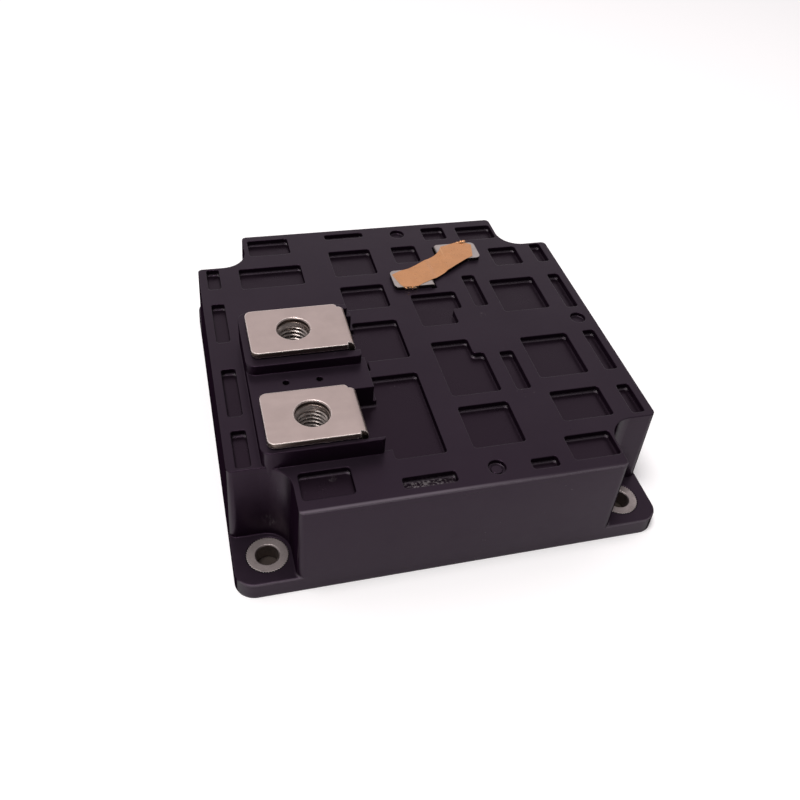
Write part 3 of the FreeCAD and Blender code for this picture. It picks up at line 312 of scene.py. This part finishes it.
def moulding_material():
    """Black moulded plastic with a faint purple cast, fine texture, dust specks and light scuffs."""
    shader = Shader("moulding")
    shader.set(IOR=1.42, Specular_Tint=(1.0, 0.62, 1.0, 1.0))
    shader.link(shader.at_grazing(0.28, 0.0), shader.surface.inputs["Specular IOR Level"])
    height = shader.axis("Z")
    pocket_floor = shader.band(height, POCKET_FLOOR - 0.2 * MM, POCKET_FLOOR + 0.25 * MM, 0.05 * MM)
    foot = shader.band(height, POCKET_FLOOR - 0.2 * MM, POCKET_FLOOR + 0.7 * MM, 0.1 * MM)
    front = shader.ramp(shader.axis("Y"), HOUSING_LOW.y + 2.1 * MM, HOUSING_LOW.y + 2.6 * MM, 1.0, 0.0)
    level = shader.facing_up()

    cloud = shader.ramp(shader.noise(45, 5.0, 0.6), 0.35, 0.7)
    tone = shader.mix(cloud, PLASTIC_DARK, PLASTIC_LIGHT)
    # Painted shade: upright walls and pocket floors take darker tones than the top
    tone = shader.mix(level, WALL_SHADE, tone)
    tone = shader.mix(pocket_floor, tone, POCKET_SHADE)
    tone = shader.mix(moulding_dust(shader, pocket_floor, level), tone, PLASTIC_DUST)
    wider = shader.math("ADD", shader.times(foot, FOOT_ROUNDING), shader.times(front, FRONT_ROUNDING))
    rounded = shader.bevel(shader.math("ADD", EDGE_ROUNDING, wider))
    # The base colour carries painted highlights along rounded edges
    shader.colour(edge_light(shader, tone, rounded, foot, front))

    wear = shader.ramp(shader.noise(120, 6.0, 0.7), 0.3, 0.75, 0.27, 0.42)
    shader.roughness(shader.math("ADD", wear, shader.times(pocket_floor, -0.03)))
    waves = shader.bump(shader.noise(210, 2.0), 0.05, 0.4 * MM, rounded)
    shader.normal(shader.bump(shader.noise(2600, 3.0), 0.12, 0.03 * MM, waves))
    return shader.material


def busbar_material():
    """Satin nickel plating: soft grain drawn along X, faint stains, painted shade on its sides, painted edge
    highlights.
    """
    shader = Shader("busbar_nickel")
    shader.set(Metallic=1.0)
    drawn = shader.noise(900, 5.0, 0.6, shader.stretched(0.10, 1.0, 1.0))
    stain = shader.noise(160, 4.0, 0.6)
    tone = shader.mix(shader.ramp(stain, 0.35, 0.72), (0.525, 0.428, 0.400), (0.470, 0.382, 0.356))
    # Painted shade: upright sides take a dark colour
    tone = shader.mix(shader.facing_up(), (0.20, 0.155, 0.135), tone)
    rounded = shader.bevel(0.4 * MM)
    edge = shader.rounded_edge_mask(rounded, 0.84, 0.985)
    # Painted highlight: rounded edges take a bright colour
    shader.colour(shader.mix(edge, tone, (0.95, 0.87, 0.83)))
    shader.roughness(shader.mix(edge, shader.ramp(drawn, 0.3, 0.7, 0.30, 0.42), (0.52, 0.52, 0.52)))
    shader.normal(shader.bump(drawn, 0.12, 0.02 * MM, rounded))
    return shader.material


def tab_material():
    """Tinned copper of the auxiliary tabs, greyer and duller than the busbars, with painted shade on its
    upright sides.
    """
    shader = Shader("tab_tin")
    shader.set(Metallic=1.0)
    stain = shader.noise(420, 5.0, 0.6)
    tone = shader.mix(shader.ramp(stain, 0.3, 0.7), (0.50, 0.455, 0.435), (0.40, 0.36, 0.345))
    # Painted shade: upright sides take a dark colour
    shader.colour(shader.mix(shader.facing_up(), (0.10, 0.085, 0.085), tone))
    shader.roughness(shader.ramp(stain, 0.3, 0.7, 0.30, 0.44))
    shader.normal(shader.bump(stain, 0.1, 0.02 * MM, shader.bevel(0.2 * MM, 4)))
    return shader.material


def bushing_material():
    """Turned steel collar with stains, dull wear and lighter edges."""
    shader = Shader("bushing_steel")
    shader.set(Metallic=1.0)
    stain = shader.noise(500, 5.0, 0.65)
    rounded = shader.bevel(0.16 * MM)
    tone = shader.mix(shader.ramp(stain, 0.3, 0.72), (0.41, 0.36, 0.35), (0.25, 0.215, 0.21))
    shader.colour(shader.mix(shader.rounded_edge_mask(rounded, 0.80, 0.97), tone, (0.62, 0.57, 0.56)))
    shader.roughness(shader.ramp(stain, 0.3, 0.7, 0.32, 0.5))
    shader.normal(shader.bump(stain, 0.2, 0.03 * MM, rounded))
    return shader.material


def nut_material():
    """Plated steel of the captive nuts."""
    shader = Shader("nut_steel")
    shader.set(Metallic=1.0)
    stain = shader.noise(700, 4.0)
    shader.colour(shader.mix(shader.ramp(stain, 0.3, 0.7), (0.42, 0.37, 0.34), (0.30, 0.265, 0.25)))
    shader.roughness(shader.ramp(stain, 0.3, 0.7, 0.24, 0.38))
    shader.normal(shader.bump(stain, 0.08, 0.02 * MM))
    return shader.material


def foil_material():
    """Bare copper foil: patches of brighter and darker metal, a painted highlight on one crease, crinkled
    folds with painted highlights.
    """
    shader = Shader("foil_copper")
    shader.set(Metallic=1.0)
    patch = shader.noise(260, 4.0, 0.6)
    fine = shader.noise(1500, 4.0, 0.6)
    flat = shader.facing_up()
    tone = shader.mix(shader.ramp(patch, 0.3, 0.7), (0.69, 0.345, 0.166), (0.60, 0.298, 0.144))
    # Painted highlight along one crease, growing towards the rear
    crease = shader.band(shader.axis("X"), SENSE_LOW.x + 1.4 * MM, SENSE_LOW.x + 1.7 * MM, 0.2 * MM)
    rearward = shader.ramp(shader.axis("Y"), SENSE_LOW.y + 1.5 * MM, SENSE_LOW.y + 4.0 * MM, 0.0, 0.45)
    tone = shader.mix(shader.times(crease, rearward), tone, (0.93, 0.56, 0.29))
    # Painted highlight: fold faces that do not face up take a bright colour
    shader.colour(shader.mix(flat, (1.0, 0.84, 0.58), tone))
    shader.roughness(shader.mix(flat, (0.20, 0.20, 0.20), shader.ramp(fine, 0.3, 0.7, 0.24, 0.42)))
    crinkle = shader.bump(shader.noise(900, 3.0, 0.7), 0.9, 0.35 * MM)
    smooth = shader.bump(fine, 0.25, 0.03 * MM, shader.bump(patch, 0.35, 0.15 * MM))
    shader.normal(shader.mix(flat, crinkle, smooth))
    return shader.material


def plain_metal(name, light, dark, low_rough, high_rough, scale):
    """A metal with a mottled tone, for the pieces inside the module and its base."""
    shader = Shader(name)
    shader.set(Metallic=1.0)
    stain = shader.noise(scale, 5.0, 0.6)
    shader.colour(shader.mix(shader.ramp(stain, 0.3, 0.7), light, dark))
    shader.roughness(shader.ramp(stain, 0.3, 0.7, low_rough, high_rough))
    shader.normal(shader.bump(stain, 0.08, 0.02 * MM))
    return shader.material


def ceramic_material():
    """Off-white fired ceramic of the substrates."""
    shader = Shader("ceramic")
    grain = shader.noise(1800, 3.0)
    shader.colour(shader.mix(shader.ramp(grain, 0.3, 0.7), (0.80, 0.78, 0.73), (0.70, 0.68, 0.63)))
    shader.roughness(shader.ramp(grain, 0.3, 0.7, 0.42, 0.55))
    shader.normal(shader.bump(grain, 0.1, 0.01 * MM))
    return shader.material


def silicon_material():
    """Dark glossy faces of the chips."""
    shader = Shader("silicon")
    shader.set(Metallic=0.6)
    grain = shader.noise(900, 3.0)
    shader.colour(shader.mix(shader.ramp(grain, 0.3, 0.7), (0.16, 0.165, 0.19), (0.10, 0.105, 0.13)))
    shader.roughness(shader.ramp(grain, 0.3, 0.7, 0.18, 0.28))
    return shader.material


def gel_material():
    """Clear soft potting with a faint haze."""
    shader = Shader("gel")
    shader.set(IOR=1.40, Transmission_Weight=0.85)
    cloud = shader.noise(120, 3.0)
    shader.colour(shader.mix(shader.ramp(cloud, 0.3, 0.7), (0.85, 0.85, 0.80), (0.78, 0.78, 0.72)))
    shader.roughness(shader.ramp(cloud, 0.3, 0.7, 0.12, 0.22))
    return shader.material


SLOT_MATERIALS = {
    "moulding": moulding_material(),
    "busbar_nickel": busbar_material(),
    "tab_tin": tab_material(),
    "bushing_steel": bushing_material(),
    "nut_steel": nut_material(),
    "foil_copper": foil_material(),
    "base_nickel": plain_metal("base_nickel", (0.62, 0.58, 0.54), (0.50, 0.46, 0.43), 0.28, 0.42, 90),
    "bonded_copper": plain_metal("bonded_copper", (0.72, 0.42, 0.29), (0.58, 0.33, 0.22), 0.30, 0.45, 300),
    "bond_aluminium": plain_metal("bond_aluminium", (0.78, 0.78, 0.79), (0.66, 0.66, 0.68), 0.22, 0.34, 900),
    "ceramic": ceramic_material(),
    "silicon": silicon_material(),
    "gel": gel_material(),
}


def dress_cad_nodes():
    """Give every CAD node the material of its slot."""
    slots = {entry["node"]: entry["material_slot"] for entry in frame["record"]["subparts"]}
    for name, node in nodes.items():
        material = SLOT_MATERIALS[slots[name]]
        node.data.materials.clear()
        node.data.materials.append(material)


dress_cad_nodes()


def piece_from(name, mesh_data, slot_name):
    """A scene piece that rides with the module and takes its finish from one slot."""
    mesh = bpy.data.meshes.new(name)
    mesh_data.to_mesh(mesh)
    mesh_data.free()
    piece = bpy.data.objects.new(name, mesh)
    bpy.context.scene.collection.objects.link(piece)
    piece.data.materials.append(SLOT_MATERIALS[slot_name])
    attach(piece, "root")
    return piece


# Shorting foil: size of its facets, sag between the two tabs, and crumple on its face and at its folds
FOIL_STEP = 0.45 * MM
FOIL_SAG = 0.45 * MM
FOIL_CRUMPLE = 0.05 * MM
FOIL_EDGE_CRUMPLE = 0.16 * MM
FOIL_CUTS = 6
CRUMPLE_SCALE = 900
FINE_CRUMPLE_SCALE = 2100

# Places along X where the foil starts to sag past the gate tab, and where it rises again to the sense tab
SAG_START = (GATE_TAB_RIGHT - 0.4 * MM, GATE_TAB_RIGHT + 1.6 * MM)
SAG_END = (SENSE_LOW.x - 0.6 * MM, SENSE_LOW.x + 1.0 * MM)


def smooth_step(value, low, high):
    """0 below the low value and 1 above the high one, with a soft passage."""
    share = min(1.0, max(0.0, (value - low) / (high - low)))
    return share * share * (3 - 2 * share)


def foil_lift(spot, level):
    """How far one spot of the foil stands off its flat place: sag between the tabs, creases and crumple."""
    sag = smooth_step(spot.x, *SAG_START) * (1 - smooth_step(spot.x, *SAG_END))
    fine = noise.noise(spot * CRUMPLE_SCALE) + 0.5 * noise.noise(spot * FINE_CRUMPLE_SCALE)
    wrapped = smooth_step(level - spot.z, 0.05 * MM, 0.3 * MM)
    return -FOIL_SAG * sag + fine * (FOIL_CRUMPLE + (FOIL_EDGE_CRUMPLE - FOIL_CRUMPLE) * wrapped)


# Crumpled lumps where the foil is folded: edge, distance from the foil's left end and size in millimetres
FOIL_LUMPS = [("rear", 25.7, 1.00), ("rear", 24.3, 0.60), ("front", 4.9, 0.78), ("front", 3.9, 0.50),
              ("front", 2.9, 0.42)]
REAR_LUMP_DROP = 0.1 * MM
FRONT_LUMP_DROP = 0.45 * MM
LUMP_SHAPE = (1.2, 0.7, 0.7)
LUMP_CRUMPLE_SCALE = 1900


def add_lump(mesh, low, high, edge, along, size):
    """One small crumpled lump on the folded front or rear edge of the foil."""
    if edge == "rear":
        centre = Vector((low.x + along * MM, high.y, high.z - REAR_LUMP_DROP))
    else:
        centre = Vector((low.x + along * MM, low.y, high.z - FRONT_LUMP_DROP))
    made = bmesh.ops.create_icosphere(mesh, subdivisions=3, radius=size * MM)
    for vertex in made["verts"]:
        crumple = 0.80 + 0.60 * noise.noise((vertex.co + centre) * LUMP_CRUMPLE_SCALE)
        flattened = Vector([value * share for value, share in zip(vertex.co, LUMP_SHAPE)])
        vertex.co = centre + flattened * crumple


def creased_foil(node):
    """The foil of the frame, cut into small facets and then sagged, creased and crumpled."""
    mesh = bmesh.new()
    mesh.from_mesh(nodes[node].data)
    mesh.transform(nodes[node].matrix_world)
    low, high = box_of(node)
    for _ in range(FOIL_CUTS):
        long_edges = [edge for edge in mesh.edges if edge.calc_length() > 2 * FOIL_STEP]
        if not long_edges:
            break
        bmesh.ops.subdivide_edges(mesh, edges=long_edges, cuts=1)
        bmesh.ops.triangulate(mesh, faces=mesh.faces)
    for vertex in mesh.verts:
        vertex.co.z += foil_lift(vertex.co.copy(), high.z)
    for edge, along, size in FOIL_LUMPS:
        add_lump(mesh, low, high, edge, along, size)
    piece = piece_from(node + "_creased", mesh, "foil_copper")
    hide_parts(node)


creased_foil("shorting_foil")


# Raised pin mark in the front dimple of the moulding
PIN_RADIUS = 1.45 * MM
PIN_TOP_RADIUS = PIN_RADIUS * 0.94
PIN_HEIGHT = 0.35 * MM
PIN_PLACE = Vector((7.7, -48.8)) * MM
DIMPLE_DEPTH = 1.1 * MM


def pin_mark():
    """A low raised disc without any sign on it."""
    mesh = bmesh.new()
    bmesh.ops.create_cone(mesh, cap_ends=True, segments=40, radius1=PIN_RADIUS, radius2=PIN_TOP_RADIUS,
                          depth=PIN_HEIGHT)
    middle = FACE_LEVEL - DIMPLE_DEPTH + PIN_HEIGHT / 2
    bmesh.ops.translate(mesh, verts=mesh.verts, vec=(PIN_PLACE.x, PIN_PLACE.y, middle))
    piece_from("pin_mark", mesh, "moulding")


pin_mark()


# Captive busbar nuts with a real helical thread.
# Along one pitch the crest ends, the root starts and the root ends at these shares.
THREAD_PITCH = 1.25 * MM
THREAD_MINOR = 3.32 * MM
THREAD_MAJOR = 3.98 * MM
CREST_END = 0.16
ROOT_START = 0.52
ROOT_END = 0.64
THREAD_STEPS = 48
RINGS_PER_PITCH = 12
MOUTH_CHAMFER = 0.7 * MM

# How the thread fades out below the mouth, and how far below the top face its last ring may be
THREAD_FADE = 0.5 * THREAD_PITCH
FADE_END_DEPTH = MOUTH_CHAMFER * 0.5
LAST_RING_DEPTH = MOUTH_CHAMFER * 0.9


def thread_radius(turn):
    """Radius of the thread's wall at a place along its pitch, counted in turns."""
    spot = turn % 1.0
    depth = THREAD_MAJOR - THREAD_MINOR
    if spot < CREST_END:
        return THREAD_MINOR
    if spot < ROOT_START:
        return THREAD_MINOR + depth * (spot - CREST_END) / (ROOT_START - CREST_END)
    if spot < ROOT_END:
        return THREAD_MAJOR
    return THREAD_MAJOR - depth * (spot - ROOT_END) / (1 - ROOT_END)


def ring_of(mesh, centre, level, radius_at):
    """One closed ring of vertices at a level. radius_at gives the radius at each step and its angle."""
    ring = []
    for step in range(THREAD_STEPS):
        angle = 2 * math.pi * step / THREAD_STEPS
        radius = radius_at(step, angle)
        spot = (centre.x + radius * math.cos(angle), centre.y + radius * math.sin(angle), level)
        ring.append(mesh.verts.new(spot))
    return ring


def join_rings(mesh, first, second):
    """A belt of faces between two rings."""
    for step in range(THREAD_STEPS):
        follower = (step + 1) % THREAD_STEPS
        mesh.faces.new((first[follower], first[step], second[step], second[follower]))


def threaded_nut(node):
    """A hex nut in place of the plain one, with a chamfered mouth and a helical thread."""
    low, high = box_of(node)
    centre = (low + high) / 2
    half_flats = (high.y - low.y) / 2
    thread_top = high.z - FADE_END_DEPTH
    mesh = bmesh.new()

    def hexagon(step, angle):
        folded = angle % math.radians(60) - math.radians(30)
        return half_flats / math.cos(folded)

    def mouth(step, angle):
        return THREAD_MINOR + MOUTH_CHAMFER

    def thread(step, angle):
        turn = (level - low.z) / THREAD_PITCH - step / THREAD_STEPS
        fade = min(1.0, (thread_top - level) / THREAD_FADE)
        return THREAD_MINOR + (thread_radius(turn) - THREAD_MINOR) * max(0.0, fade)

    rings = []
    level = low.z
    while level < high.z - LAST_RING_DEPTH:
        rings.append(ring_of(mesh, centre, level, thread))
        level += THREAD_PITCH / RINGS_PER_PITCH
    rings.append(ring_of(mesh, centre, high.z, mouth))
    rings.append(ring_of(mesh, centre, high.z, hexagon))
    rings.append(ring_of(mesh, centre, low.z, hexagon))
    for first, second in zip(rings, rings[1:] + rings[:1]):
        join_rings(mesh, first, second)
    bmesh.ops.recalc_face_normals(mesh, faces=mesh.faces)
    piece = piece_from(node + "_threaded", mesh, "nut_steel")
    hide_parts(node)


for nut in ("collector_nut", "emitter_nut"):
    threaded_nut(nut)


# Floor and light
FLOOR_HALF = 3.0
FLOOR_GLOW = 0.14
SHADE_INSET = 2 * MM
BACK_LIGHT = 0.82
FRONT_LIGHT = 0.24
FADE_START = -0.45
FADE_END = 0.55
ROOM_TINT = (1.0, 0.95, 0.97, 1.0)
KEY_POWER = 5.6
KEY_AIM = Vector((0, 0, 20 * MM))
KEY_DIRECTION = (-0.2, -0.1, 0.97)
KEY_DISTANCE = 0.9
KEY_WIDTH = 0.35
KEY_TINT = (1.0, 0.97, 0.97)


def make_floor():
    """A plain white floor, shaded under the module where the bores of the bushings show it."""
    mesh = bpy.data.meshes.new("floor")
    turns = ((-1, -1), (1, -1), (1, 1), (-1, 1))
    corners = [(side_x * FLOOR_HALF, side_y * FLOOR_HALF, 0) for side_x, side_y in turns]
    mesh.from_pydata(corners, [], [(0, 1, 2, 3)])
    floor = bpy.data.objects.new("floor", mesh)
    bpy.context.scene.collection.objects.link(floor)
    shader = Shader("floor_white")
    shader.set(Roughness=0.9, Specular_IOR_Level=0.0, Emission_Color=(1.0, 1.0, 1.0, 1.0))
    shade_low = HOUSING_LOW + Vector((SHADE_INSET, SHADE_INSET, 0))
    shade_high = HOUSING_HIGH - Vector((SHADE_INSET, SHADE_INSET, 0))
    across = shader.band(shader.axis("X"), shade_low.x, shade_high.x, 0.5 * MM)
    along = shader.band(shader.axis("Y"), shade_low.y, shade_high.y, 0.5 * MM)
    under = shader.times(across, along)
    white = shader.mix(shader.noise(3.0, 2.0), (0.93, 0.93, 0.93), (0.95, 0.95, 0.95))
    shader.colour(shader.mix(under, white, (0.045, 0.036, 0.032)))
    shader.link(shader.ramp(under, 0.0, 1.0, FLOOR_GLOW, 0.0), shader.surface.inputs["Emission Strength"])
    floor.data.materials.append(shader.material)


def place_key_light():
    """One round lamp overhead, turned towards the middle of the module."""
    data = bpy.data.lights.new("key", "AREA")
    data.shape = "DISK"
    data.size = KEY_WIDTH
    data.energy = KEY_POWER
    data.color = KEY_TINT
    light = bpy.data.objects.new("key", data)
    bpy.context.scene.collection.objects.link(light)
    toward = Vector(KEY_DIRECTION).normalized()
    light.location = KEY_AIM + toward * KEY_DISTANCE
    light.rotation_euler = toward.to_track_quat("Z", "Y").to_euler()


def light_studio():
    """Soft light from the room, bright behind the module and fading towards the front."""
    world = bpy.data.worlds.new("studio")
    world.use_nodes = True
    tree = world.node_tree
    background = tree.nodes["Background"]
    background.inputs["Color"].default_value = ROOM_TINT
    place = tree.nodes.new("ShaderNodeTexCoord")
    split = tree.nodes.new("ShaderNodeSeparateXYZ")
    fade = tree.nodes.new("ShaderNodeMapRange")
    fade.interpolation_type = "SMOOTHSTEP"
    fade.inputs["From Min"].default_value = FADE_START
    fade.inputs["From Max"].default_value = FADE_END
    fade.inputs["To Min"].default_value = FRONT_LIGHT
    fade.inputs["To Max"].default_value = BACK_LIGHT
    tree.links.new(place.outputs["Generated"], split.inputs[0])
    tree.links.new(split.outputs["Y"], fade.inputs["Value"])
    tree.links.new(fade.outputs["Result"], background.inputs["Strength"])
    bpy.context.scene.world = world
    bpy.context.scene.view_settings.view_transform = "Standard"
    bpy.context.scene.view_settings.look = "None"


make_floor()
light_studio()
place_key_light()
